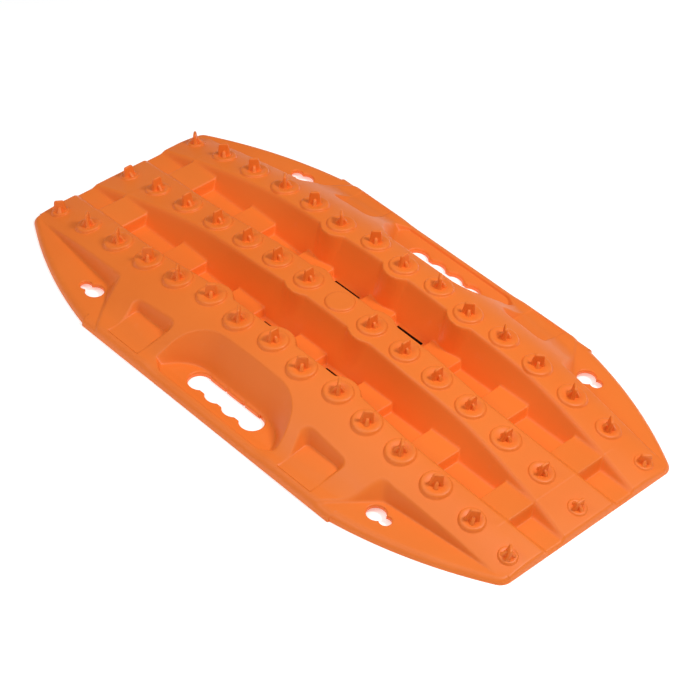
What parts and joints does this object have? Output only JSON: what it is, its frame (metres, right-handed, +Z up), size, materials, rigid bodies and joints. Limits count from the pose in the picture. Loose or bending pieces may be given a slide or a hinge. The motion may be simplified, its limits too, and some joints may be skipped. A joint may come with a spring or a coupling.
{
  "type": "vehicle traction board",
  "caption": "Bowed orange nylon traction board with toothed cleats on three ridges, two drain channels, side hand holds and corner keyholes, laid under a stuck wheel.",
  "frame": {"origin": "on the ground under the centre of the board, at the middle of the base plane", "axes": "+X along the length towards the right end as seen from the near hand hold, +Y across the width towards the far hand hold, +Z up away from the ground, on the cleated side"},
  "size_m": [0.63, 0.335, 0.059],
  "materials": {
    "orange_nylon": "moulded glass-filled nylon, fine even grain with a soft sheen, same colour all through"
  },
  "bodies": {
    "root": {"center_disc": "orange_nylon", "channel_far": "orange_nylon", "channel_near": "orange_nylon", "cleat_center_01": "orange_nylon", "cleat_center_02": "orange_nylon", "cleat_center_03": "orange_nylon", "cleat_center_04": "orange_nylon", "cleat_center_05": "orange_nylon", "cleat_center_06": "orange_nylon", "cleat_center_07": "orange_nylon", "cleat_center_09": "orange_nylon", "cleat_center_10": "orange_nylon", "cleat_center_11": "orange_nylon", "cleat_center_12": "orange_nylon", "cleat_center_13": "orange_nylon", "cleat_center_14": "orange_nylon", "cleat_center_15": "orange_nylon", "cleat_far_01": "orange_nylon", "cleat_far_02": "orange_nylon", "cleat_far_03": "orange_nylon", "cleat_far_04": "orange_nylon", "cleat_far_05": "orange_nylon", "cleat_far_06": "orange_nylon", "cleat_far_07": "orange_nylon", "cleat_far_08": "orange_nylon", "cleat_far_09": "orange_nylon", "cleat_far_10": "orange_nylon", "cleat_far_11": "orange_nylon", "cleat_far_12": "orange_nylon", "cleat_far_13": "orange_nylon", "cleat_far_14": "orange_nylon", "cleat_far_15": "orange_nylon", "cleat_near_01": "orange_nylon", "cleat_near_02": "orange_nylon", "cleat_near_03": "orange_nylon", "cleat_near_04": "orange_nylon", "cleat_near_05": "orange_nylon", "cleat_near_06": "orange_nylon", "cleat_near_07": "orange_nylon", "cleat_near_08": "orange_nylon", "cleat_near_09": "orange_nylon", "cleat_near_10": "orange_nylon", "cleat_near_11": "orange_nylon", "cleat_near_12": "orange_nylon", "cleat_near_13": "orange_nylon", "cleat_near_14": "orange_nylon", "cleat_near_15": "orange_nylon", "handle_far": "orange_nylon", "handle_near": "orange_nylon", "ridge_center": "orange_nylon", "ridge_far": "orange_nylon", "ridge_near": "orange_nylon", "shoulder_far": "orange_nylon", "shoulder_near": "orange_nylon", "wing_far_left": "orange_nylon", "wing_far_right": "orange_nylon", "wing_near_left": "orange_nylon", "wing_near_right": "orange_nylon"}
  },
  "joints": []
}
